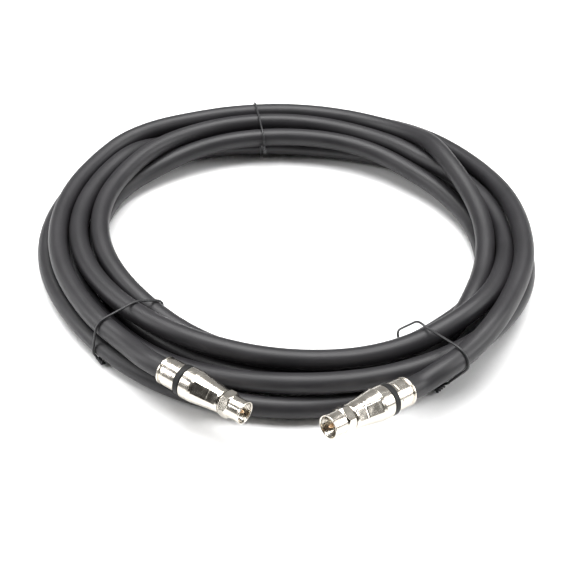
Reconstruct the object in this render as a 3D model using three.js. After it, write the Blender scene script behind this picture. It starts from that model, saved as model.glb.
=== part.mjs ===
// A coil of stiff round coaxial cable, held by three wire ties, with a screw-on
// connector crimped on each end. Millimetres, +Z up, lying on the plane z = 0.
// The front, where both connectors lie, faces -Y.
import * as THREE from "three";

// Sizes of the cable and of its ties
const CABLE_DIAMETER = 10.3;
const TIE_WIRE = 1.2;
const TIE_END = 6.5;
const CLEARANCE = 0.3;

// The oval that the lanes of the coil are measured from
const COIL_HALF_WIDTH = 117;
const COIL_HALF_DEPTH = 106.5;

// Places around the coil, in degrees clockwise from the front
const LEFT_TAIL_ANGLE = 40;
const RIGHT_TAIL_ANGLE = 330;
const LEFT_TIE_ANGLE = 48.3;
const BACK_TIE_ANGLE = 170.5;
const RIGHT_TIE_ANGLE = 323.5;

// Where the back of each connector lies, where it heads and how much it rises, in degrees
const LEFT_BACK = [-55.8, -(COIL_HALF_DEPTH + 3.1), 20.2];
const RIGHT_BACK = [53.1, -(COIL_HALF_DEPTH + 20.2), 24.4];
const LEFT_CONNECTOR = { back: LEFT_BACK, heading: -36, rise: 1.5 };
const RIGHT_CONNECTOR = { back: RIGHT_BACK, heading: 218.5, rise: 10.8 };

// Sizes of a connector, from the cable to its open end
const SLEEVE_LENGTH = 10.1;
const SLEEVE_DIAMETER = 13.6;
const SLEEVE_RIM = 0.9;
const SLEEVE_GROOVE = 1.9;
const SLEEVE_GROOVE_DEPTH = 0.6;
const BAND_LENGTH = 2.9;
const BAND_DIAMETER = 14.9;
const SHOULDER_LENGTH = 5.7;
const SHOULDER_DIAMETER = 15.2;
const TAPER_LENGTH = 15.4;
const TAPER_END_DIAMETER = 11.3;
const NUT_ACROSS_FLATS = 11.1;
const NUT_HEX_LENGTH = 4.6;
const NUT_LENGTH = 11.6;
const NUT_COLLAR_DIAMETER = 10.9;
const NUT_BORE = 9.5;
const NUT_BACK_WALL = 1.8;
const POST_DIAMETER = 6.6;
const POST_FLANGE = 8.6;
const POST_FLANGE_LENGTH = 1;
const PIN_DIAMETER = 1.6;
const PIN_RECESS = 0.6;
const PIN_WELL = 1;
const CABLE_IN_SLEEVE = 8;

// One row a turn, one pair a station every 30 degrees from the front: how far the cable
// lies outside the oval, and how high above the lowest layer, in cable diameters
const STATIONS = 12;
const LANES = [
  // from the left connector, on top of the left side, then inwards over the right side
  [[1.5, 1.3], [1, 1.1], [0.25, 1], [0.65, 1], [1.15, 1], [1.25, 1],
    [1.2, 1], [0.8, 1], [-1.05, 1.75], [-0.9, 1.2], [-0.4, 1], [-0.2, 0.05]],
  // on the floor inside, up over the back, then the innermost turn of the right
  [[-0.2, 0], [-1, 0], [-1.4, 0], [-1.2, 0], [-0.45, 0.1], [-1.05, 0.7],
    [-1.55, 0.9], [-1.55, 0.9], [-1.65, 0.4], [-0.85, 0], [-0.5, 0], [-0.6, 0]],
  // up from the inside of the front to the outside of the right
  [[-1.4, 0], [-2.1, 0], [-2.2, 0.7], [-1.5, 1], [-0.65, 1.1], [-0.1, 1.2],
    [0.1, 1], [-0.55, 1], [-0.55, 0.9], [-0.15, 1], [0.2, 1.6], [0.05, 1]],
  // on top of the front and left, down to the floor outside
  [[-0.8, 0.9], [-1.1, 1], [-1.1, 1], [-0.35, 1], [0.35, 0.8], [1.05, 0.1],
    [0.95, 0], [0.75, 0], [0.85, 0], [0.85, 0], [1.45, 0.9], [1.35, 1]],
  // across the top of the front, then on the floor, inwards under the back and out again
  [[0.65, 0.9], [0.05, 0], [-0.35, 0], [0.05, 0], [0.55, 0], [-0.45, 0],
    [-1.3, 0], [-1.1, 0], [-0.15, 0], [-0.1, 0], [0.95, 0], [1.4, 0]],
  // the outermost turn, rising over the right side to the right connector
  [[1.45, 0], [1.05, 0], [0.65, 0], [1.45, 0], [1.9, 0], [2.1, 0],
    [2, 0], [1.6, 0.5], [0.8, 1.1], [0.5, 1.75], [1.15, 1.8], [2.5, 1.7]],
];

// How finely the turns are worked out
const STEP = 10;
const STEPS = 360 / STEP;
const SPACING = CABLE_DIAMETER + CLEARANCE + 0.1;
const LOWEST = TIE_WIRE + CLEARANCE + CABLE_DIAMETER / 2;
const SECTION_POINTS = 32;
const ROUND = 24;

const radians = THREE.MathUtils.degToRad;

// The oval's radius at an angle
function ovalRadius(angle) {
  const a = radians(angle);
  return COIL_HALF_WIDTH * COIL_HALF_DEPTH
    / Math.hypot(COIL_HALF_DEPTH * Math.sin(a), COIL_HALF_WIDTH * Math.cos(a));
}

// A point of the coil's radial plane at an angle
function place(angle, radius, height) {
  const a = radians(angle);
  return new THREE.Vector3(-radius * Math.sin(a), -radius * Math.cos(a), height);
}

// A smooth value between the second and third of four
function between(a, b, c, d, t) {
  return 0.5 * (2 * b + (c - a) * t + (2 * a - 5 * b + 4 * c - d) * t * t
    + (3 * b - a - 3 * c + d) * t * t * t);
}

// Where the lane table puts the cable at a step of its length
function laneAt(step) {
  const lanes = LANES.flat();
  const station = step * STATIONS / STEPS;
  const first = Math.floor(station);
  const near = [-1, 0, 1, 2].map((i) => lanes[Math.min(Math.max(first + i, 0), lanes.length - 1)]);
  const [across, up] = [0, 1].map((i) => between(...near.map((lane) => lane[i]), station - first));
  return {
    radius: ovalRadius(step * STEP) + across * CABLE_DIAMETER,
    height: LOWEST + up * CABLE_DIAMETER,
  };
}

// Pushes apart the turns that lie closer than a cable's thickness at the same angle
function pushApart(turns) {
  for (let i = 0; i < turns.length; i++) {
    for (let j = i + STEPS; j < turns.length; j += STEPS) {
      const across = turns[j].radius - turns[i].radius;
      const up = turns[j].height - turns[i].height;
      const apart = Math.max(Math.hypot(across, up), 0.01);
      if (apart < SPACING) {
        const push = (SPACING - apart) / 2 / apart;
        turns[i].radius -= across * push;
        turns[i].height -= up * push;
        turns[j].radius += across * push;
        turns[j].height += up * push;
      }
    }
  }
  for (const turn of turns) {
    turn.height = Math.max(turn.height, LOWEST);
  }
}

// The turns of the coil as they settle: near their lanes, smooth, and clear of each other
const FIRST_STEP = LEFT_TAIL_ANGLE / STEP;
const LAST_STEP = (LANES.length - 1) * STEPS + RIGHT_TAIL_ANGLE / STEP;
function settledTurns() {
  const turns = [];
  for (let step = FIRST_STEP; step <= LAST_STEP; step++) {
    turns.push(laneAt(step));
  }
  const lanes = turns.map((turn) => ({ ...turn }));
  for (let pass = 0; pass < 240; pass++) {
    const before = turns.map((turn) => ({ ...turn }));
    for (let i = 1; i < turns.length - 1; i++) {
      for (const key of ["radius", "height"]) {
        const oval = key === "radius" ? (k) => ovalRadius((FIRST_STEP + k) * STEP) : () => 0;
        const middle = (before[i - 1][key] - oval(i - 1) + before[i + 1][key] - oval(i + 1)) / 2;
        const value = before[i][key] - oval(i);
        const lane = lanes[i][key] - oval(i);
        turns[i][key] = oval(i) + value + 0.25 * (middle - value) + 0.1 * (lane - value);
      }
    }
    pushApart(turns);
  }
  for (let pass = 0; pass < 200; pass++) {
    pushApart(turns);
  }
  return turns;
}
const TURNS = settledTurns();

// Every turn that crosses the coil's radial plane at an angle
function turnsAt(angle) {
  const found = [];
  for (let turn = 0; turn < LANES.length; turn++) {
    const place = angle / STEP + turn * STEPS - FIRST_STEP;
    if (place > -1e-6 && place < TURNS.length - 1 + 1e-6) {
      const first = Math.min(Math.max(Math.floor(place), 0), TURNS.length - 2);
      const t = place - first;
      found.push({
        turn,
        radius: THREE.MathUtils.lerp(TURNS[first].radius, TURNS[first + 1].radius, t),
        height: THREE.MathUtils.lerp(TURNS[first].height, TURNS[first + 1].height, t),
      });
    }
  }
  return found;
}

// How far the outline of the turns is from a centre, in one direction
function outlineReach(centre, turns, direction) {
  const round = CABLE_DIAMETER / 2;
  let reach = round;
  for (const turn of turns) {
    const across = turn.radius - centre.radius;
    const up = turn.height - centre.height;
    const along = across * Math.cos(direction) + up * Math.sin(direction);
    const aside = Math.abs(across * Math.sin(direction) - up * Math.cos(direction));
    const edge = aside < round ? Math.sqrt(round * round - aside * aside) : -3 * (aside - round);
    reach = Math.max(reach, along + edge);
  }
  return reach;
}

// The coil as one turned solid: its section follows the turns, so each shows as a ridge
function coilGeometry() {
  const columns = [LEFT_TAIL_ANGLE - 0.3, RIGHT_TAIL_ANGLE + 0.3];
  columns.push(LEFT_TIE_ANGLE, BACK_TIE_ANGLE, RIGHT_TIE_ANGLE);
  for (let angle = 0; angle <= 360; angle += STEP) {
    columns.push(angle);
  }
  const angles = [...new Set(columns)].sort((a, b) => b - a);
  const circle = [];
  for (let i = 0; i <= SECTION_POINTS; i++) {
    circle.push(new THREE.Vector2(COIL_HALF_WIDTH + Math.cos(i), Math.sin(i)));
  }
  const geometry = new THREE.LatheGeometry(circle, angles.length - 1);
  const position = geometry.attributes.position;
  angles.forEach((angle, column) => {
    const turns = turnsAt(angle % 360);
    const lasting = turns.filter((turn) => turn.turn > 0 && turn.turn < LANES.length - 1);
    const radius = lasting.reduce((sum, turn) => sum + turn.radius, 0) / lasting.length;
    const centre = { radius, height: LOWEST + CABLE_DIAMETER / 2 };
    for (let i = 0; i <= SECTION_POINTS; i++) {
      const direction = 2 * Math.PI * (i % SECTION_POINTS) / SECTION_POINTS;
      const reach = outlineReach(centre, turns, direction);
      const point = place(angle % 360, centre.radius + reach * Math.cos(direction),
        centre.height + reach * Math.sin(direction));
      position.setXYZ(column * (SECTION_POINTS + 1) + i, point.x, point.y, point.z);
    }
  });
  geometry.computeVertexNormals();
  return geometry;
}

// A round bar along a smooth line through points
function tube(points, diameter, sides, steps) {
  const section = new THREE.Shape();
  for (let i = 0; i < sides; i++) {
    const a = 2 * Math.PI * i / sides;
    const move = i === 0 ? "moveTo" : "lineTo";
    section[move](diameter / 2 * Math.cos(a), diameter / 2 * Math.sin(a));
  }
  const extrudePath = new THREE.CatmullRomCurve3(points, false, "centripetal");
  return new THREE.ExtrudeGeometry(section, { steps, extrudePath, bevelEnabled: false });
}

// A connector's direction, and a point on its axis at a distance from its back
function headingOf(connector) {
  const a = radians(connector.heading);
  const b = radians(connector.rise);
  return new THREE.Vector3(Math.cos(a) * Math.cos(b), Math.sin(a) * Math.cos(b), Math.sin(b));
}
function alongConnector(connector, distance) {
  return new THREE.Vector3(...connector.back).addScaledVector(headingOf(connector), distance);
}

// The end of the cable, from the coil into the connector's sleeve
function tailGeometry(angle, side, connector) {
  const turn = side < 0 ? TURNS[0] : TURNS[TURNS.length - 1];
  const away = angle + side * (0.3 + THREE.MathUtils.radToDeg(CLEARANCE / turn.radius));
  const start = place(away, turn.radius, turn.height);
  const points = [start];
  for (const distance of [-8, -3, 0, 3, CABLE_IN_SLEEVE]) {
    points.push(alongConnector(connector, distance));
  }
  return tube(points, CABLE_DIAMETER, 10, 8);
}

// A wire tie: once round the turns at an angle, with both ends bent out beside each other
function tieGeometry(angle, endDirection) {
  const turns = turnsAt(angle);
  const reach = CABLE_DIAMETER / 2 + CLEARANCE + TIE_WIRE / 2;
  const beside = TIE_WIRE / 2 + CLEARANCE;
  const tangent = new THREE.Vector3(-Math.cos(radians(angle)), Math.sin(radians(angle)), 0);
  const around = (direction, extra, shift) => {
    const [x, y] = [Math.cos(direction), Math.sin(direction)];
    const outer = turns.reduce((best, turn) => (
      turn.radius * x + turn.height * y > best.radius * x + best.height * y ? turn : best));
    return place(angle, outer.radius + (reach + extra) * x, outer.height + (reach + extra) * y)
      .addScaledVector(tangent, shift);
  };
  const start = radians(endDirection);
  const loops = 72;
  const points = [around(start, TIE_END, -beside), around(start, TIE_WIRE, -beside)];
  for (let i = 1; i < loops; i++) {
    points.push(around(start + 2 * Math.PI * i / loops, 0, beside * (2 * i / loops - 1)));
  }
  points.push(around(start, TIE_WIRE, beside), around(start, TIE_END, beside));
  return tube(points, TIE_WIRE, 6, 96);
}

// A turned shape from [radius, distance] pairs, standing on +Y
function turned(profile) {
  return new THREE.LatheGeometry(profile.map(([r, y]) => new THREE.Vector2(r, y)), ROUND);
}

// The compression sleeve: rim, groove and plain barrel, open for the cable
function sleeveGeometry() {
  const outer = SLEEVE_DIAMETER / 2;
  const groove = outer - SLEEVE_GROOVE_DEPTH;
  const bore = CABLE_DIAMETER / 2 + CLEARANCE;
  return turned([
    [bore, 0], [outer, 0], [outer, SLEEVE_RIM], [groove, SLEEVE_RIM + 0.3],
    [groove, SLEEVE_GROOVE], [outer, SLEEVE_GROOVE + 0.5], [outer, SLEEVE_LENGTH],
    [bore, SLEEVE_LENGTH], [bore, 0],
  ]);
}

// The plastic band between sleeve and body
function bandGeometry() {
  const bore = CABLE_DIAMETER / 2 + CLEARANCE;
  const outer = BAND_DIAMETER / 2;
  return turned([[bore, 0], [outer, 0], [outer, BAND_LENGTH], [bore, BAND_LENGTH], [bore, 0]]);
}

// The tapered body, with the post and flange that the nut turns on and a well for the pin
const BODY_LENGTH = SHOULDER_LENGTH + TAPER_LENGTH;
const POST_LENGTH = CLEARANCE + NUT_BACK_WALL + CLEARANCE + POST_FLANGE_LENGTH;
function bodyGeometry() {
  const flangeFront = BODY_LENGTH + POST_LENGTH;
  const flangeBack = flangeFront - POST_FLANGE_LENGTH;
  const well = PIN_DIAMETER / 2 + CLEARANCE;
  return turned([
    [0, 0], [SHOULDER_DIAMETER / 2 - 0.3, 0], [SHOULDER_DIAMETER / 2, 0.3],
    [SHOULDER_DIAMETER / 2, SHOULDER_LENGTH], [TAPER_END_DIAMETER / 2, BODY_LENGTH],
    [POST_DIAMETER / 2, BODY_LENGTH], [POST_DIAMETER / 2, flangeBack],
    [POST_FLANGE / 2, flangeBack], [POST_FLANGE / 2, flangeFront],
    [well, flangeFront], [well, flangeFront - PIN_WELL], [0, flangeFront - PIN_WELL],
  ]);
}

// The swivel nut: a hexagon, then a round collar, with a bore that holds the post's flange
function nutGeometry() {
  const neck = POST_DIAMETER / 2 + CLEARANCE;
  const bore = NUT_BORE / 2;
  const collar = NUT_COLLAR_DIAMETER / 2;
  const flat = NUT_ACROSS_FLATS / 2;
  const hexFrom = 1;
  const geometry = turned([
    [neck, 0], [flat, 0], [flat, NUT_HEX_LENGTH], [collar, NUT_HEX_LENGTH],
    [collar, NUT_LENGTH], [bore, NUT_LENGTH], [bore, NUT_BACK_WALL],
    [neck, NUT_BACK_WALL], [neck, 0],
  ]);
  const position = geometry.attributes.position;
  const rows = 9;
  for (let i = 0; i < position.count; i++) {
    const row = i % rows;
    if (row === hexFrom || row === hexFrom + 1) {
      const x = position.getX(i);
      const z = position.getZ(i);
      const sixth = Math.PI / 3;
      const turn = Math.atan2(x, z) + 8 * sixth;
      const grow = 1 / Math.cos((turn % sixth) - sixth / 2);
      position.setXYZ(i, x * grow, position.getY(i), z * grow);
    }
  }
  geometry.computeVertexNormals();
  return geometry;
}

// The centre pin, seated in the post and ending just inside the collar
function pinGeometry() {
  const from = POST_LENGTH - PIN_WELL + CLEARANCE;
  const to = CLEARANCE + NUT_LENGTH - PIN_RECESS;
  return new THREE.CylinderGeometry(PIN_DIAMETER / 2, PIN_DIAMETER / 2, to - from, 12)
    .translate(0, (from + to) / 2, 0);
}

const jacket = new THREE.MeshStandardMaterial({ color: 0x2b2b2e, roughness: 0.45 });
const nickel = new THREE.MeshStandardMaterial({ color: 0xcfc9bf, roughness: 0.2, metalness: 1 });
const blackPlastic = new THREE.MeshStandardMaterial({ color: 0x1c1c1e, roughness: 0.6 });
const brass = new THREE.MeshStandardMaterial({ color: 0xb59a5b, roughness: 0.3, metalness: 1 });
const tieCoat = new THREE.MeshStandardMaterial({ color: 0x141416, roughness: 0.5 });

function piece(name, geometry, material) {
  const mesh = new THREE.Mesh(geometry, material);
  mesh.name = name;
  return mesh;
}

// One connector's pieces, set in a line along its axis
function connectorPieces(side, connector) {
  const group = new THREE.Group();
  const axis = new THREE.Vector3(0, 1, 0);
  group.quaternion.setFromUnitVectors(axis, headingOf(connector));
  group.position.set(...connector.back);
  const bandFrom = SLEEVE_LENGTH + CLEARANCE;
  const bodyFrom = bandFrom + BAND_LENGTH + CLEARANCE;
  const bodyTo = bodyFrom + BODY_LENGTH;
  const pieces = [
    [piece(`${side}_compression_sleeve`, sleeveGeometry(), nickel), 0],
    [piece(`${side}_band`, bandGeometry(), blackPlastic), bandFrom],
    [piece(`${side}_connector_body`, bodyGeometry(), nickel), bodyFrom],
    [piece(`${side}_swivel_nut`, nutGeometry(), nickel), bodyTo + CLEARANCE],
    [piece(`${side}_centre_pin`, pinGeometry(), brass), bodyTo],
  ];
  for (const [mesh, distance] of pieces) {
    mesh.position.y = distance;
    group.add(mesh);
  }
  return group;
}

const coil = new THREE.Group();
coil.add(piece("cable_coil", coilGeometry(), jacket));
coil.add(piece("left_cable_end", tailGeometry(LEFT_TAIL_ANGLE, -1, LEFT_CONNECTOR), jacket));
coil.add(piece("right_cable_end", tailGeometry(RIGHT_TAIL_ANGLE, 1, RIGHT_CONNECTOR), jacket));
coil.add(connectorPieces("left", LEFT_CONNECTOR));
coil.add(connectorPieces("right", RIGHT_CONNECTOR));
coil.add(piece("left_tie", tieGeometry(LEFT_TIE_ANGLE, -20), tieCoat));
coil.add(piece("back_tie", tieGeometry(BACK_TIE_ANGLE, 160), tieCoat));
coil.add(piece("right_tie", tieGeometry(RIGHT_TIE_ANGLE, 20), tieCoat));

// The origin is the middle of the footprint, on the floor
const box = new THREE.Box3().setFromObject(coil, true);
const middle = box.getCenter(new THREE.Vector3());
coil.position.set(-middle.x, -middle.y, -box.min.z);

const object = new THREE.Group();
object.add(coil);
export default object;
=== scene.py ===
# %% [markdown]
# # A coil of stiff coaxial cable
# The object is about four metres of thick round cable, wound into an oval coil, held by
# three plastic-coated wire ties, with a plated screw-on connector crimped on each end.
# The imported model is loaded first. It is the fixed frame: every piece made here is
# placed in its coordinates, in metres, with the floor at z = 0 and the front at -Y.

# %% Load the frame
import bpy
import math
import numpy as np
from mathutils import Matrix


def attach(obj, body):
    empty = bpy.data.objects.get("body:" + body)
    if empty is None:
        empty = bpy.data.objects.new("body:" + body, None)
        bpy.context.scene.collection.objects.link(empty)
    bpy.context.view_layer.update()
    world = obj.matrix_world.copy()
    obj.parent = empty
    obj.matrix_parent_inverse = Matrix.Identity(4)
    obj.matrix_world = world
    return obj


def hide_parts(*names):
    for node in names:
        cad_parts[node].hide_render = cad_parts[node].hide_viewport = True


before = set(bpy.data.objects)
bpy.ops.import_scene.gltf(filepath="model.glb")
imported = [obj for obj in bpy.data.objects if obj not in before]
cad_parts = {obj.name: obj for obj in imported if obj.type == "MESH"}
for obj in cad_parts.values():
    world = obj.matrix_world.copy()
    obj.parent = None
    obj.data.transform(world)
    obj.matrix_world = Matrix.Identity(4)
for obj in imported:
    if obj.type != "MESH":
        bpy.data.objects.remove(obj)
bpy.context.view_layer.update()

# %% [markdown]
# ## Camera
# The coil was photographed from the front and above, from a little over half a metre
# away. A lens could be picked by eye, but the oval of the coil fixes it: an oval this
# wide, seen this flat, needs a camera 354 mm up that looks 41.5 degrees down.

# %% Camera
MM = 0.001
# from the middle of the cable's oval, where it was measured, to the part's own origin
OVAL_TO_ORIGIN = np.array([1.8123, 13.5523, 0.0495])
camera_data = bpy.data.cameras.new("camera")
camera_data.sensor_width = 36.0
camera_data.lens = 62.83
camera = bpy.data.objects.new("camera", camera_data)
camera.location = (np.array([0.0, -429.0, 354.0]) + OVAL_TO_ORIGIN) * MM
camera.rotation_euler = (math.radians(90 - 41.5), 0, 0)
bpy.context.scene.collection.objects.link(camera)
bpy.context.scene.camera = camera
print("camera at", [round(v, 3) for v in camera.location])

# %% [markdown]
# ## How the turns lie
# The cable is one piece, and its turns cross over and under each other. It could be
# drawn as six separate rings, but then no turn would ever change its place. Instead a
# table says where the cable runs at every 30 degrees of its way round: how far outside
# an oval, and how high above the lowest layer, both in cable diameters. One row is one
# turn, and the end of a row goes on into the next.

# %% The lane table
CABLE = 10.3
TIE_WIRE = 1.2
CLEARANCE = 0.3
COIL_HALF_WIDTH = 117.0
COIL_HALF_DEPTH = 106.5
LANES = np.array([
    # from the left connector, on top of the left side, then inwards over the right side
    [[1.5, 1.3], [1, 1.1], [0.25, 1], [0.65, 1], [1.15, 1], [1.25, 1],
     [1.2, 1], [0.8, 1], [-1.05, 1.75], [-0.9, 1.2], [-0.4, 1], [-0.2, 0.05]],
    # on the floor inside, up over the back, then the innermost turn of the right
    [[-0.2, 0], [-1, 0], [-1.4, 0], [-1.2, 0], [-0.45, 0.1], [-1.05, 0.7],
     [-1.55, 0.9], [-1.55, 0.9], [-1.65, 0.4], [-0.85, 0], [-0.5, 0], [-0.6, 0]],
    # up from the inside of the front to the outside of the right
    [[-1.4, 0], [-2.1, 0], [-2.2, 0.7], [-1.5, 1], [-0.65, 1.1], [-0.1, 1.2],
     [0.1, 1], [-0.55, 1], [-0.55, 0.9], [-0.15, 1], [0.2, 1.6], [0.05, 1]],
    # on top of the front and left, down to the floor outside
    [[-0.8, 0.9], [-1.1, 1], [-1.1, 1], [-0.35, 1], [0.35, 0.8], [1.05, 0.1],
     [0.95, 0], [0.75, 0], [0.85, 0], [0.85, 0], [1.45, 0.9], [1.35, 1]],
    # across the top of the front, then on the floor, inwards at the back and out again
    [[0.65, 0.9], [0.05, 0], [-0.35, 0], [0.05, 0], [0.55, 0], [-0.45, 0],
     [-1.3, 0], [-1.1, 0], [-0.15, 0], [-0.1, 0], [0.95, 0], [1.4, 0]],
    # the outermost turn, rising over the right side to the right connector
    [[1.45, 0], [1.05, 0], [0.65, 0], [1.45, 0], [1.9, 0], [2.1, 0],
     [2, 0], [1.6, 0.5], [0.8, 1.1], [0.5, 1.75], [1.15, 1.8], [2.5, 1.7]],
])
print("turns:", len(LANES), "stations a turn:", LANES.shape[1])

# %% [markdown]
# ## Letting the turns settle
# The table alone would leave turns that touch or run through each other. A physics run
# could sort them out, but it is slow and hard to repeat. Here each turn is nudged many
# times: towards its neighbours along the cable, which keeps it smooth, towards its lane,
# and away from any turn that lies closer than a cable's thickness. The whole coil is one
# grid, a row for each turn and a column for each ten degrees.

# %% Settle the turns
TURN_COUNT = len(LANES)
COLUMNS = 36
COLUMN_STEP = 360.0 / COLUMNS
# the steps where the left end comes in, at 40 degrees, and the right one leaves, at 330
FIRST, LAST = 4, 213
EASING_PASSES, ALL_PASSES = 240, 440
SPACING = CABLE + CLEARANCE + 0.1
LOWEST = TIE_WIRE + CLEARANCE + CABLE / 2
STEPS = np.arange(TURN_COUNT * COLUMNS)
PRESENT = ((STEPS >= FIRST) & (STEPS <= LAST)).reshape(TURN_COUNT, COLUMNS)


def oval_radius(angle):
    """The oval's radius: half width times half depth, over the length of
    (half depth times sine, half width times cosine) of the angle in degrees."""
    a = np.radians(angle)
    below = np.hypot(COIL_HALF_DEPTH * np.sin(a), COIL_HALF_WIDTH * np.cos(a))
    return COIL_HALF_WIDTH * COIL_HALF_DEPTH / below


def smooth_between(values, station):
    """A cubic through equally spaced values: at each place it weighs the two values on
    either side so that its slope at a value is half the step across that value."""
    first = np.floor(station).astype(int)
    t = (station - first)[:, None]
    a, b, c, d = [values[np.clip(first + i, 0, len(values) - 1)] for i in (-1, 0, 1, 2)]
    return 0.5 * (2 * b + (c - a) * t + (2 * a - 5 * b + 4 * c - d) * t * t
                  + (3 * b - a - 3 * c + d) * t ** 3)


def push_apart(radius, height):
    """Moves each pair of turns in a column apart, along the line between them, by half
    of what they lack of the spacing, and then lifts all to the lowest layer."""
    for a in range(TURN_COUNT):
        for b in range(a + 1, TURN_COUNT):
            across, up = radius[b] - radius[a], height[b] - height[a]
            apart = np.maximum(np.hypot(across, up), 0.01)
            push = np.maximum((SPACING - apart) / 2 / apart, 0) * (PRESENT[a] & PRESENT[b])
            radius[a] -= across * push
            radius[b] += across * push
            height[a] -= up * push
            height[b] += up * push
    np.maximum(height, LOWEST, out=height)


def ease(values, lanes):
    """One step of smoothing along the cable: a quarter of the way to the mean of the two
    neighbours, and a tenth of the way to the lane. The two ends stay."""
    flat = values.ravel()[FIRST:LAST + 1].copy()
    wanted = lanes.ravel()[FIRST:LAST + 1]
    inner = flat[1:-1]
    middle = (flat[:-2] + flat[2:]) / 2
    flat[1:-1] = inner + 0.25 * (middle - inner) + 0.1 * (wanted[1:-1] - inner)
    values.ravel()[FIRST:LAST + 1] = flat


lane_grid = smooth_between(LANES.reshape(-1, 2), STEPS * LANES.shape[1] / COLUMNS)
base = oval_radius(STEPS * COLUMN_STEP).reshape(TURN_COUNT, COLUMNS)
lane_out = (lane_grid[:, 0] * CABLE).reshape(TURN_COUNT, COLUMNS)
lane_up = (LOWEST + lane_grid[:, 1] * CABLE).reshape(TURN_COUNT, COLUMNS)
turn_radius, turn_height = base + lane_out, lane_up.copy()
for settle in range(ALL_PASSES):
    if settle < EASING_PASSES:
        outward = turn_radius - base
        ease(outward, lane_out)
        ease(turn_height, lane_up)
        turn_radius = base + outward
    push_apart(turn_radius, turn_height)
print("settled, heights", turn_height[PRESENT].min().round(2), "to",
      turn_height[PRESENT].max().round(2), "mm")

# %% [markdown]
# ## The cable's centre line
# The centre line runs from inside one connector, through all the turns, into the other
# connector. Straight pieces between the stations would show as kinks in the highlights,
# so a natural cubic spline is laid through them: it bends as little as a line through
# those points can, which is also how a stiff cable lies.

# %% Centre line
LEFT = {"back": np.array([-55.8, -109.6, 20.2]), "heading": -36.0, "rise": 1.5}
RIGHT = {"back": np.array([53.1, -126.7, 24.4]), "heading": 218.5, "rise": 10.8}
CABLE_IN_SLEEVE = 8.0


def heading_of(connector):
    """The unit vector of a heading round Z and a rise above the floor."""
    a, b = math.radians(connector["heading"]), math.radians(connector["rise"])
    return np.array([math.cos(a) * math.cos(b), math.sin(a) * math.cos(b), math.sin(b)])


def place(angle, radius, height):
    """A point at an angle clockwise from the front: x is minus radius times sine, y is
    minus radius times cosine, z is the height."""
    a = np.radians(angle)
    return np.stack(np.broadcast_arrays(-radius * np.sin(a), -radius * np.cos(a), height), -1)


def spline_through(points, spacing):
    """A natural cubic spline over chord length: its second derivatives solve the usual
    three-banded system, zero at both ends. It is sampled at an even spacing."""
    s = np.concatenate([[0], np.cumsum(np.linalg.norm(np.diff(points, axis=0), axis=1))])
    h = np.diff(s)
    n = len(points)
    system = np.eye(n)
    right = np.zeros((n, 3))
    row = np.arange(1, n - 1)
    system[row, row - 1] = h[:-1]
    system[row, row] = 2 * (h[:-1] + h[1:])
    system[row, row + 1] = h[1:]
    slope = np.diff(points, axis=0) / h[:, None]
    right[1:-1] = 6 * np.diff(slope, axis=0)
    bend = np.linalg.solve(system, right)
    at = np.linspace(0, s[-1], int(s[-1] / spacing) + 1)
    i = np.clip(np.searchsorted(s, at, side="right") - 1, 0, n - 2)
    u, v, w = (at - s[i])[:, None], (s[i + 1] - at)[:, None], h[i][:, None]
    return (bend[i] * v ** 3 + bend[i + 1] * u ** 3) / (6 * w) \
        + (points[i] / w - bend[i] * w / 6) * v + (points[i + 1] / w - bend[i + 1] * w / 6) * u


def along(connector, distances):
    """Points on a connector's axis, at distances from its back."""
    return connector["back"] + np.outer(distances, heading_of(connector))


steps = np.arange(FIRST, LAST + 1)
in_coil = place(steps * COLUMN_STEP, turn_radius.ravel()[steps], turn_height.ravel()[steps])
into_sleeve = np.array([-8.0, -3.0, 0.0, 4.0, CABLE_IN_SLEEVE])
route = np.concatenate([along(LEFT, into_sleeve[::-1]), in_coil, along(RIGHT, into_sleeve)])
centre_line = (spline_through(route, 2.4) + OVAL_TO_ORIGIN) * MM

# %% [markdown]
# ## From a grid of points to a mesh
# Nearly everything here is a grid of rings: the cable, the ties and all the turned metal
# pieces. One helper joins each ring to the next with four-sided faces and closes the
# ends. It also writes a UV map in metres, round the ring and along it, so that a finish
# can follow the surface.

# %% Ring helper


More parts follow.
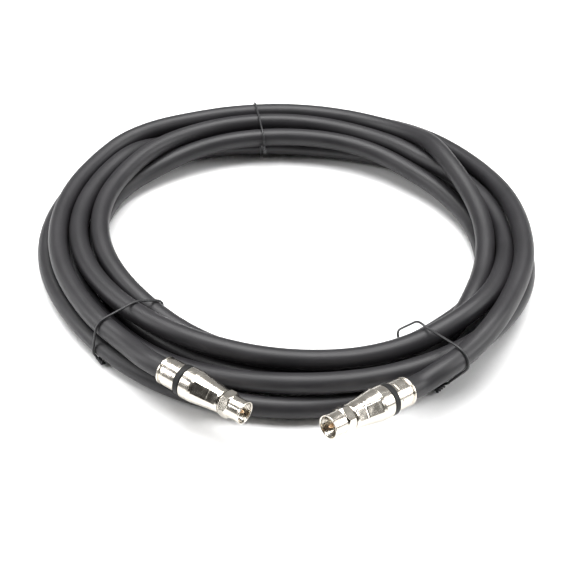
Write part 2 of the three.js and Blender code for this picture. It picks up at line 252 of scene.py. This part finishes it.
def ring_mesh(name, grid, closed_loop=False, sharp=40.0):
    """Face (i, j) joins ring i to ring i + 1 and point j to j + 1. Rings turn
    anticlockwise about the way they go, so all faces point outwards. The end rings are
    closed by one flat face each, unless the rows themselves close into a loop."""
    rows, around = grid.shape[:2]
    last = rows if closed_loop else rows - 1
    i, j = np.meshgrid(np.arange(last), np.arange(around), indexing="ij")
    up, on = (i + 1) % rows, (j + 1) % around
    quads = np.stack([i * around + j, i * around + on, up * around + on, up * around + j], -1)
    loops = quads.reshape(-1)
    starts = np.arange(last * around) * 4
    sizes = np.full(last * around, 4)
    ring = np.linalg.norm(grid - np.roll(grid, -1, axis=1), axis=2).mean(axis=1)
    gaps = np.linalg.norm(np.diff(grid, axis=0), axis=2).mean(axis=1)
    length = np.concatenate([[0], np.cumsum(np.append(gaps, gaps[-1] if closed_loop else 0))])
    u = np.stack([j, j + 1, j + 1, j], -1) * ring.mean()
    v = np.stack([length[i], length[i], length[i + 1], length[i + 1]], -1)
    uv = np.stack([u, v], -1).reshape(-1, 2)
    if not closed_loop:
        ends = [np.arange(around)[::-1], (rows - 1) * around + np.arange(around)]
        loops = np.concatenate([loops, *ends])
        starts = np.concatenate([starts, starts[-1] + 4 + np.array([0, around])])
        sizes = np.concatenate([sizes, [around, around]])
        uv = np.concatenate([uv, np.zeros((2 * around, 2))])
    mesh = bpy.data.meshes.new(name)
    mesh.vertices.add(rows * around)
    mesh.vertices.foreach_set("co", grid.reshape(-1).astype(np.float32))
    mesh.loops.add(len(loops))
    mesh.loops.foreach_set("vertex_index", loops.astype(np.int32))
    mesh.polygons.add(len(starts))
    mesh.polygons.foreach_set("loop_start", starts.astype(np.int32))
    mesh.polygons.foreach_set("loop_total", sizes.astype(np.int32))
    mesh.update(calc_edges=True)
    mesh.uv_layers.new(name="surface").data.foreach_set("uv", uv.reshape(-1).astype(np.float32))
    mesh.polygons.foreach_set("use_smooth", np.ones(len(starts), bool))
    mesh.set_sharp_from_angle(angle=math.radians(sharp))
    mesh.validate()
    piece = bpy.data.objects.new(name, mesh)
    bpy.context.scene.collection.objects.link(piece)
    print(name, "faces", len(mesh.polygons))
    return piece


def carried_rings(path, radius, around):
    """Rings of a round bar: at each station a circle in the plane across the path. The
    side vector is carried from station to station and made square to the path again,
    so the rings don't twist. The radius may change along the way."""
    way = np.gradient(path, axis=0)
    way /= np.linalg.norm(way, axis=1)[:, None]
    side = np.zeros_like(path)
    start = np.cross(way[0], [0.0, 0.0, 1.0])
    if np.linalg.norm(start) < 0.1:
        start = np.cross(way[0], [1.0, 0.0, 0.0])
    for station in range(len(path)):
        start = start - way[station] * (start @ way[station])
        start = start / np.linalg.norm(start)
        side[station] = start
    third = np.cross(way, side)
    a = np.linspace(0, 2 * np.pi, around, endpoint=False)[None, :, None]
    size = np.broadcast_to(radius, len(path))[:, None, None]
    return path[:, None] + size * (side[:, None] * np.cos(a) + third[:, None] * np.sin(a))


# %% [markdown]
# ## The cable
# A thick round jacket of black plastic. A curve with a round bevel would do, but a mesh
# swept along the centre line gives a UV map in metres, which the fine lengthwise lines
# of the extruded plastic follow.

# %% Cable
cable = ring_mesh("cable", carried_rings(centre_line, CABLE / 2 * MM, 36))

# %% [markdown]
# ## Turned metal: profiles with softened corners
# Connector pieces are turned on a lathe, so each is a profile carried round an axis. A
# corner that is perfectly sharp catches no light, and real ones always shine a little,
# so each corner of a profile becomes a small curve, with a point on either side that
# keeps the flat runs flat.

# %% Profiles
ARC = np.array([0.0, 0.25, 0.5, 0.75, 1.0])


def softened(corners, bevel=0.12, closed=False):
    """Each corner P becomes a curve from A to C, points one bevel before and after it:
    (1 - t) squared times A, plus 2 t (1 - t) times P, plus t squared times C. A bevel
    is never more than a fifth of a side next to it."""
    p = np.array(corners, float)
    before, after = np.roll(p, 1, axis=0), np.roll(p, -1, axis=0)
    back, front = before - p, after - p
    back_length = np.linalg.norm(back, axis=1)[:, None]
    front_length = np.linalg.norm(front, axis=1)[:, None]
    b = np.minimum(bevel, np.minimum(back_length, front_length) / 5)
    back, front = back / back_length, front / front_length
    start, end = p + back * b, p + front * b
    t = ARC[None, :, None]
    curve = (1 - t) ** 2 * start[:, None] + 2 * t * (1 - t) * p[:, None] + t * t * end[:, None]
    held = np.concatenate([(p + back * 2.2 * b)[:, None], curve, (p + front * 2.2 * b)[:, None]], 1)
    if closed:
        return held.reshape(-1, 2)
    inner = held[1:-1].reshape(-1, 2)
    return np.concatenate([p[:1], inner, p[-1:]])


def frame_of(connector):
    """The axis of a connector and two directions across it. The first is the part of
    'up and towards the front' that is square to the axis."""
    axis = heading_of(connector)
    front_up = np.array([0.0, -0.77, 0.64])
    first = front_up - axis * (front_up @ axis)
    first /= np.linalg.norm(first)
    return axis, first, np.cross(axis, first)


def turned_grid(connector, start, reach, height, around):
    """Points at back plus (start + height) along the axis, plus reach times (first
    direction times cosine, second times sine). Reach may differ round the ring."""
    axis, first, second = frame_of(connector)
    a = np.linspace(0, 2 * np.pi, around, endpoint=False)
    reach = np.broadcast_to(reach, (len(height), around))[..., None]
    ring = first * np.cos(a)[:, None] + second * np.sin(a)[:, None]
    origin = connector["back"] + axis * start + OVAL_TO_ORIGIN
    return (origin + height[:, None, None] * axis + reach * ring) * MM


AROUND = 144
ANGLES = np.linspace(0, 360, AROUND, endpoint=False)

# %% [markdown]
# ## Compression sleeve and band
# The sleeve that grips the cable has a thin rounded rim at its open end, a shallow
# groove, and a plain barrel. Behind it sits a black plastic band that stands slightly
# proud. Both are rings, so their profiles close on themselves.

# %% Sleeves and bands
SLEEVE_LENGTH, BAND_LENGTH = 10.1, 2.9


def sleeve(side, connector):
    """A closed profile of rim, groove, barrel and bore, carried round the axis."""
    profile = softened([
        (5.35, 0.25), (6.35, 0.0), (6.8, 0.2), (6.8, 0.85), (6.1, 1.1), (6.1, 2.0),
        (6.6, 2.35), (6.6, 3.1), (6.72, 3.3), (6.72, 8.3), (6.62, 8.45), (6.62, 9.9),
        (6.45, 10.1), (5.35, 10.1),
    ], 0.16, closed=True)
    grid = turned_grid(connector, 0.0, profile[:, :1], profile[:, 1], 96)
    return ring_mesh(f"{side}_sleeve_plated", grid, closed_loop=True)


def band(side, connector):
    """A closed profile of a plain ring with well rounded edges."""
    profile = softened([(5.4, 0.0), (7.3, 0.0), (7.45, 0.3), (7.45, 2.6), (7.3, 2.9), (5.4, 2.9)],
                       0.2, closed=True)
    start = SLEEVE_LENGTH + CLEARANCE
    return ring_mesh(f"{side}_band_black",
                     turned_grid(connector, start, profile[:, :1], profile[:, 1], 96),
                     closed_loop=True)


pieces = {}
for side, connector in (("left", LEFT), ("right", RIGHT)):
    pieces[side, "sleeve"] = sleeve(side, connector)
    pieces[side, "band"] = band(side, connector)

# %% [markdown]
# ## Tapered body
# The body starts as a short bright cylinder, then tapers towards the nut, with a fine
# turned line where the taper starts and another further on. On two opposite sides a long
# flat panel is pressed into the taper. The panel could be cut with a boolean, but in a
# grid of rings it is simpler: within the panel the reach is never more than that of a
# plane that lies a little below the cone.

# %% Bodies
SHOULDER, TAPER = 5.7, 15.4
BODY_START = SLEEVE_LENGTH + CLEARANCE + BAND_LENGTH + CLEARANCE
BODY_LENGTH = SHOULDER + TAPER
PANEL_FROM, PANEL_TO, PANEL_DEPTH = SHOULDER + 1.3, BODY_LENGTH - 1.5, 0.55


def cone(y):
    """The taper's radius: from the shoulder's to the nut end's, sagging slightly inwards
    in between by a half wave of a sine."""
    t = np.clip((y - SHOULDER) / TAPER, 0, 1)
    return 7.6 + (5.65 - 7.6) * (t + 0.07 * np.sin(np.pi * t))


def body(side, connector):
    """Profile rows from the back face, over shoulder and taper, to the post's flange and
    the well for the pin. On the taper, the reach is the smaller of the cone's and the
    panel plane's, which is (cone minus depth) over the cosine of the angle to it."""
    back = softened([(0.4, 0.0), (7.3, 0.0), (7.6, 0.3), (7.6, SHOULDER - 0.35),
                     (7.48, SHOULDER - 0.2), (7.6, SHOULDER), (7.5, SHOULDER + 0.8)], 0.1)[:-2]
    edge = 0.12
    y = np.concatenate([np.linspace(SHOULDER + 0.3, BODY_LENGTH - 0.35, 48),
                        [PANEL_FROM - edge, PANEL_FROM, PANEL_FROM + edge,
                         PANEL_TO - edge, PANEL_TO, PANEL_TO + edge]])
    y = np.sort(y)
    line = 0.09 * np.exp(-((y - SHOULDER - 9.0) / 0.16) ** 2)
    taper = np.stack([cone(y) - line, y], -1)
    flange = BODY_LENGTH + 2.4
    front = softened([(5.65, BODY_LENGTH - 0.3), (5.5, BODY_LENGTH), (3.3, BODY_LENGTH),
                      (3.3, flange), (4.3, flange), (4.3, flange + 1), (1.1, flange + 1),
                      (1.1, flange), (0.3, flange)], 0.08)
    rows = np.concatenate([back, taper, front])
    reach, height = np.repeat(rows[:, :1], AROUND, axis=1), rows[:, 1]
    panelled = (height >= PANEL_FROM) & (height <= PANEL_TO)
    off = np.radians((ANGLES + 90) % 180 - 90)
    plane = (reach - PANEL_DEPTH) / np.maximum(np.cos(off), 0.2)
    reach = np.where(panelled[:, None], np.minimum(reach, plane), reach)
    return ring_mesh(f"{side}_body_plated",
                     turned_grid(connector, BODY_START, reach, height, AROUND), sharp=30)


for side, connector in (("left", LEFT), ("right", RIGHT)):
    pieces[side, "body"] = body(side, connector)

# %% [markdown]
# ## Swivel nut and pin
# The nut is a hexagon with chamfered corners, then a round collar with a thin lip, and a
# threaded bore that shows in the open end. A hexagon is the meeting of six planes, so
# its reach at an angle is the flat distance over the cosine of the angle to the middle
# of the nearest flat. The chamfer comes from taking the smaller of that and the turned
# profile. The thread is a ridge that climbs one pitch a turn.

# %% Nuts and pins
NUT_START = BODY_START + BODY_LENGTH + CLEARANCE
FLAT, CORNER = 5.55, 5.55 / math.cos(math.radians(30))
THREAD_PITCH, THREAD_DEPTH = 0.79, 0.28
NUT_TURN = {"left": 30.0, "right": 0.0}


def nut(side, connector):
    """Outer rows go forwards, bore rows come back, and the profile closes. Hexagon: flat
    distance over cosine. Thread: a rounded ridge whose phase is height over pitch minus
    the angle's share of a turn."""
    hex_y = np.concatenate([np.linspace(0, 0.9, 16), np.linspace(1.1, 3.5, 6),
                            np.linspace(3.7, 4.6, 16)])
    hex_r = np.interp(hex_y, [0, 0.75, 3.85, 4.6], [5.3, CORNER, CORNER, 5.45])
    collar = softened([(5.45, 4.6), (5.18, 4.75), (5.18, 10.6), (5.42, 10.85), (5.45, 11.4),
                       (5.3, 11.6), (4.95, 11.6), (4.72, 11.3), (4.72, 11.1)], 0.08)[1:]
    outer = np.concatenate([[(3.6, 0.0), (4.4, 0.0)], np.stack([hex_r, hex_y], -1), collar])
    bore_y = np.linspace(11.05, 2.0, 120)
    bore = np.stack([np.full(120, 4.7), bore_y], -1)
    inner = np.array([(4.7, 1.85), (4.6, 1.8), (3.7, 1.8), (3.6, 1.7), (3.6, 0.1)])
    rows = np.concatenate([outer, bore, inner])
    reach, height = np.repeat(rows[:, :1], AROUND, axis=1), rows[:, 1]
    off = np.radians((ANGLES + NUT_TURN[side]) % 60 - 30)
    hexagon = (np.arange(len(rows)) < len(outer)) & (height < 4.7)
    reach = np.where(hexagon[:, None], np.minimum(reach, FLAT / np.cos(off)), reach)
    threaded = (np.arange(len(rows)) >= len(outer)) & (height > 2.4)
    fade = np.clip((11.0 - height) / 0.6, 0, 1) * threaded
    phase = height[:, None] / THREAD_PITCH - ANGLES / 360
    ridge = np.abs((phase % 1) * 2 - 1)
    reach = reach - THREAD_DEPTH * fade[:, None] * ridge
    return ring_mesh(f"{side}_nut_plated",
                     turned_grid(connector, NUT_START, reach, height, AROUND),
                     closed_loop=True, sharp=32)


def pin(side, connector):
    """A thin rod with a tapered, rounded tip, from the post's well to the bore's end."""
    profile = softened([(0.05, 0.0), (0.8, 0.0), (0.8, 7.6), (0.5, 8.3), (0.05, 8.5)], 0.15)
    grid = turned_grid(connector, NUT_START + 2.4, profile[:, :1], profile[:, 1], 24)
    return ring_mesh(f"{side}_pin_bright", grid)


for side, connector in (("left", LEFT), ("right", RIGHT)):
    pieces[side, "nut"] = nut(side, connector)
    pieces[side, "pin"] = pin(side, connector)

# %% [markdown]
# ## Wire ties
# Three soft wires with a black plastic coat hold the bundle, each pulled tight round the
# turns and twisted at its ends. A tight wire follows the shortest loop round the turns,
# so its path touches, in each direction, the turn that reaches furthest that way. The
# right tie stands off a little on the inside, as a small arch.

# %% Ties
TIE_REACH = CABLE / 2 + CLEARANCE + TIE_WIRE / 2


def turns_at(angle):
    """Radius and height of every turn at an angle, between the two nearest columns."""
    at = angle / COLUMN_STEP + np.arange(TURN_COUNT) * COLUMNS
    at = at[(at >= FIRST) & (at <= LAST)]
    first = np.minimum(np.floor(at).astype(int), LAST - 1)
    t = at - first
    r, z = turn_radius.ravel(), turn_height.ravel()
    return r[first] * (1 - t) + r[first + 1] * t, z[first] * (1 - t) + z[first + 1] * t


def tie(name, angle, end, arch=0.0, arch_at=120.0, twist_lean=(0.0, 0.0)):
    """The loop: for each direction, the centre of the outermost turn plus the wire's
    reach that way. The arch adds a bell of height to the reach. The ends: two strands
    that wind round a short line, half a turn apart."""
    r, z = turns_at(angle)
    direction = np.radians(end + np.linspace(14, 346, 160))
    ray = np.stack([np.cos(direction), np.sin(direction)], -1)
    furthest = np.argmax(ray @ np.stack([r, z]), axis=1)
    bell = arch * np.exp(-(((np.degrees(direction) - arch_at + 180) % 360 - 180) / 32) ** 2)
    reach = TIE_REACH + bell
    ring_r = r[furthest] + reach * ray[:, 0]
    ring_z = z[furthest] + reach * ray[:, 1]
    beside = np.linspace(-0.55, 0.55, 160)
    loop = place(angle, ring_r, ring_z)
    tangent = np.array([-math.cos(math.radians(angle)), math.sin(math.radians(angle)), 0.0])
    loop = loop + np.outer(beside, tangent)
    kept = np.concatenate([[0], np.cumsum(np.linalg.norm(np.diff(loop, axis=0), axis=1))])
    even = np.linspace(0, kept[-1], 90)
    loop = np.stack([np.interp(even, kept, loop[:, k]) for k in range(3)], -1)
    for soften_pass in range(3):
        loop[1:-1] = (loop[:-2] + 2 * loop[1:-1] + loop[2:]) / 4
    end_ray = np.array([math.cos(math.radians(end)), math.sin(math.radians(end))])
    outer = np.argmax(end_ray @ np.stack([r, z]))
    foot = place(angle, r[outer] + TIE_REACH * end_ray[0], z[outer] + TIE_REACH * end_ray[1])
    outwards = place(angle, end_ray[0], end_ray[1])
    sideways, upwards = twist_lean
    lean = outwards * (1 - abs(sideways)) + tangent * sideways + np.array([0, 0, upwards])
    lean /= np.linalg.norm(lean)
    first = np.cross(lean, [0.0, 0.0, 1.0])
    first /= np.linalg.norm(first)
    second = np.cross(lean, first)
    w = np.linspace(0, 1, 26)[:, None]
    turn = 2 * np.pi * 1.6 * w
    out = foot + lean * (1.3 + 5.2 * w)
    wind = 0.66 * (first * np.cos(turn) + second * np.sin(turn))
    path = np.concatenate([(out + wind)[::-1], loop, out - wind])
    path = spline_through(path[::2], 0.45)
    path = (path + OVAL_TO_ORIGIN) * MM
    print(name, "wire", round(float(np.linalg.norm(np.diff(path, axis=0), axis=1).sum()), 3), "m")
    return ring_mesh(name, carried_rings(path, TIE_WIRE / 2 * MM, 10))


ties = {
    "left": tie("left_wire_tie", 48.3, -50, twist_lean=(-0.85, 0.1)),
    "back": tie("back_wire_tie", 170.5, 200, twist_lean=(0.1, 0.0)),
    "right": tie("right_wire_tie", 323.5, -45, arch=3.0, arch_at=140.0, twist_lean=(0.85, 0.1)),
}

# %% [markdown]
# ## Finishes
# Each finish is one Principled shader with small changes over the surface: a real jacket
# has lengthwise lines from the die it was pulled through, a fine grain, and dusty scuffs,
# and plated metal has turning lines and a slight haze. Noise read from the UV map in
# metres gives lines that follow the piece, and noise read from object coordinates gives
# grain with no direction.

# %% Material helper


def finish(name, colour, roughness, metallic=0.0):
    """A new material whose shader has these fixed values on its own sockets."""
    made = bpy.data.materials.new(name)
    made.use_nodes = True
    shader = made.node_tree.nodes["Principled BSDF"]
    shader.inputs["Base Color"].default_value = (*colour, 1)
    shader.inputs["Roughness"].default_value = roughness
    shader.inputs["Metallic"].default_value = metallic
    return made, made.node_tree, shader


def noise(tree, source, scale, stretch=(1, 1, 1), detail=3.0):
    """Noise over a coordinate that is first stretched: a small factor along one axis
    draws the grains out into lines that way."""
    where = tree.nodes.new("ShaderNodeTexCoord")
    mapping = tree.nodes.new("ShaderNodeMapping")
    mapping.inputs["Scale"].default_value = stretch
    made = tree.nodes.new("ShaderNodeTexNoise")
    made.inputs["Scale"].default_value = scale
    made.inputs["Detail"].default_value = detail
    tree.links.new(where.outputs[source], mapping.inputs["Vector"])
    tree.links.new(mapping.outputs["Vector"], made.inputs["Vector"])
    return made.outputs["Fac"]


def ramp(tree, value, stops):
    """A colour ramp between two (place, colour) pairs."""
    made = tree.nodes.new("ShaderNodeValToRGB")
    for element, (spot, colour) in zip(made.color_ramp.elements, stops):
        element.position, element.color = spot, (*colour, 1)
    tree.links.new(value, made.inputs["Fac"])
    return made.outputs["Color"]


def spread(tree, value, low, high):
    """Maps the middle of a noise, 0.3 to 0.7, onto low to high."""
    made = tree.nodes.new("ShaderNodeMapRange")
    made.inputs["From Min"].default_value = 0.3
    made.inputs["From Max"].default_value = 0.7
    made.inputs["To Min"].default_value = low
    made.inputs["To Max"].default_value = high
    tree.links.new(value, made.inputs["Value"])
    return made.outputs["Result"]


def bumps(tree, shader, heights):
    """A chain of bump nodes, one for each (value, depth in metres)."""
    normal = None
    for value, depth in heights:
        made = tree.nodes.new("ShaderNodeBump")
        made.inputs["Distance"].default_value = depth
        made.inputs["Strength"].default_value = 1.0
        tree.links.new(value, made.inputs["Height"])
        if normal is not None:
            tree.links.new(normal, made.inputs["Normal"])
        normal = made.outputs["Normal"]
    tree.links.new(normal, shader.inputs["Normal"])


# %% [markdown]
# ### Jacket
# Black extruded plastic looks dark grey under a wide light, because its satin skin
# scatters the light. The colour varies a little, lengthwise lines change the gloss, and
# a fine grain breaks up the highlight.

# %% Jacket
jacket, tree, shader = finish("jacket_satin_black", (0.018, 0.018, 0.02), 0.45)
cloudy = noise(tree, "Object", 60)
grain = noise(tree, "Object", 2600, detail=2)
lines = noise(tree, "UV", 900, stretch=(1, 0.03, 1))
DARK_JACKET, LIGHT_JACKET = (0.0135, 0.013, 0.0145), (0.0195, 0.0185, 0.0205)
tree.links.new(ramp(tree, cloudy, [(0.3, DARK_JACKET), (0.7, LIGHT_JACKET)]),
               shader.inputs["Base Color"])
shader.inputs["Specular IOR Level"].default_value = 0.36
tree.links.new(spread(tree, lines, 0.4, 0.52), shader.inputs["Roughness"])
bumps(tree, shader, [(lines, 0.00003), (grain, 0.00002)])

# %% [markdown]
# ### Plated metal
# Bright nickel is a mirror with a slightly warm tint. Turning lines run round each
# piece, so the noise is drawn out round the ring, and a broad haze varies the gloss.

# %% Nickel
nickel, tree, shader = finish("nickel_plate", (0.66, 0.62, 0.55), 0.18, 1.0)
turning = noise(tree, "UV", 5000, stretch=(0.02, 1, 1), detail=2)
haze = noise(tree, "Object", 350)
tree.links.new(ramp(tree, haze, [(0.3, (0.62, 0.58, 0.51)), (0.7, (0.7, 0.66, 0.59))]),
               shader.inputs["Base Color"])
tree.links.new(spread(tree, haze, 0.14, 0.24), shader.inputs["Roughness"])
bumps(tree, shader, [(turning, 0.000004)])

# %% [markdown]
# ### Band, pin and tie coat
# The band is matte moulded plastic with a fine grain. The pin is bright contact metal,
# and the ties have a thin satin coat, wrinkled where the wire was bent.

# %% Other finishes
black_band, tree, shader = finish("band_matte_black", (0.01, 0.01, 0.01), 0.5)
grain = noise(tree, "Object", 3000)
tree.links.new(ramp(tree, grain, [(0.3, (0.007, 0.007, 0.007)), (0.7, (0.013, 0.013, 0.013))]),
               shader.inputs["Base Color"])
shader.inputs["Specular IOR Level"].default_value = 0.25
tree.links.new(spread(tree, grain, 0.42, 0.6), shader.inputs["Roughness"])
bumps(tree, shader, [(grain, 0.00003)])
contact, tree, shader = finish("pin_contact_metal", (0.72, 0.5, 0.3), 0.25, 1.0)
drawn = noise(tree, "UV", 4000, stretch=(1, 0.05, 1))
tree.links.new(ramp(tree, drawn, [(0.3, (0.66, 0.44, 0.26)), (0.7, (0.8, 0.58, 0.38))]),
               shader.inputs["Base Color"])
bumps(tree, shader, [(drawn, 0.000006)])
coat, tree, shader = finish("tie_coat_black", (0.012, 0.012, 0.013), 0.4)
wrinkle = noise(tree, "UV", 1500, stretch=(0.3, 1, 1))
tree.links.new(ramp(tree, wrinkle, [(0.3, (0.009, 0.009, 0.01)), (0.7, (0.02, 0.02, 0.022))]),
               shader.inputs["Base Color"])
tree.links.new(spread(tree, wrinkle, 0.32, 0.5), shader.inputs["Roughness"])
bumps(tree, shader, [(wrinkle, 0.00006)])

# %% [markdown]
# ## Putting the pieces on their bodies
# Each piece rides on the body of the CAD node that it stands for, and the connectors and ties go
# with the cable.

# %% Ride and replace
NODE = {"sleeve": "compression_sleeve", "band": "band", "body": "connector_body",
        "nut": "swivel_nut", "pin": "centre_pin"}
FINISH = {"sleeve": (nickel, "nickel"), "band": (black_band, "black_plastic"),
          "body": (nickel, "nickel"), "nut": (nickel, "nickel"), "pin": (contact, "pin_metal")}


def fit(piece, body_name, material, slot, *nodes):
    """Gives a piece its finish and its body, and hides the nodes that it stands for. The slot is
    not used.
    """
    piece.data.materials.append(material)
    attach(piece, body_name)
    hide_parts(*nodes)


fit(cable, "coil", jacket, "jacket", "cable_coil", "left_cable_end", "right_cable_end")
for (side, kind), piece in pieces.items():
    rides_on = f"{side}_nut" if kind == "nut" else "coil"
    fit(piece, rides_on, *FINISH[kind], f"{side}_{NODE[kind]}")
for side, piece in ties.items():
    fit(piece, "coil", coat, "tie_coat", f"{side}_tie")
print("pieces:", 1 + len(pieces) + len(ties))

# %% [markdown]
# ## Floor and light
# The coil lies on a plain white floor. A wide soft light hangs above and slightly
# behind, so the shadows fall softly towards the front, and the white floor lights the
# cable from below as a thin bright rim. The sky is dark towards the front, so that the
# plated metal has something dark to reflect. The Standard view transform shows a floor
# that is lit to full brightness as white, which the default one would turn grey.

# %% Floor and light
floor_mesh = bpy.data.meshes.new("floor")
size = 4.0
floor_mesh.from_pydata([(-size, -size, 0), (size, -size, 0), (size, size, 0), (-size, size, 0)],
                       [], [(0, 1, 2, 3)])
floor = bpy.data.objects.new("floor", floor_mesh)
bpy.context.scene.collection.objects.link(floor)
paper, tree, shader = finish("white_floor", (0.9, 0.9, 0.9), 0.7)
fibre = noise(tree, "Object", 400)
tree.links.new(ramp(tree, fibre, [(0.3, (0.89, 0.89, 0.89)), (0.7, (0.91, 0.91, 0.91))]),
               shader.inputs["Base Color"])
floor_mesh.materials.append(paper)


def lamp(name, location, target, width, depth, power):
    """A rectangular area light at a place, turned to face its target."""
    light = bpy.data.lights.new(name, "AREA")
    light.shape = "RECTANGLE"
    light.size, light.size_y, light.energy = width, depth, power
    made = bpy.data.objects.new(name, light)
    made.location = location
    way = np.array(target, float) - np.array(location, float)
    flat = math.hypot(way[0], way[1])
    made.rotation_euler = (math.atan2(flat, -way[2]), 0, math.atan2(way[1], way[0]) - math.pi / 2)
    bpy.context.scene.collection.objects.link(made)
    return made


lamp("overhead", (0.0, 0.35, 1.5), (0, 0.05, 0), 1.6, 1.2, 53)
lamp("left_side", (-1.3, -0.1, 0.7), (0, 0, 0), 0.7, 0.9, 13)
lamp("right_side", (1.3, -0.1, 0.7), (0, 0, 0), 0.7, 0.9, 13)
world = bpy.data.worlds.new("studio")
bpy.context.scene.world = world
world.use_nodes = True
sky = world.node_tree
where = sky.nodes.new("ShaderNodeTexCoord")
towards = sky.nodes.new("ShaderNodeVectorMath")
towards.operation = "DOT_PRODUCT"
towards.inputs[1].default_value = (0.0, -0.8, 0.6)
sky.links.new(where.outputs["Generated"], towards.inputs[0])
shade = ramp(sky, towards.outputs["Value"], [(0.25, (1, 1, 1)), (0.7, (0.06, 0.055, 0.05))])
sky.links.new(shade, sky.nodes["Background"].inputs["Color"])
sky.nodes["Background"].inputs["Strength"].default_value = 0.38
bpy.context.scene.view_settings.view_transform = "Standard"
print("lamps:", len(bpy.data.lights))
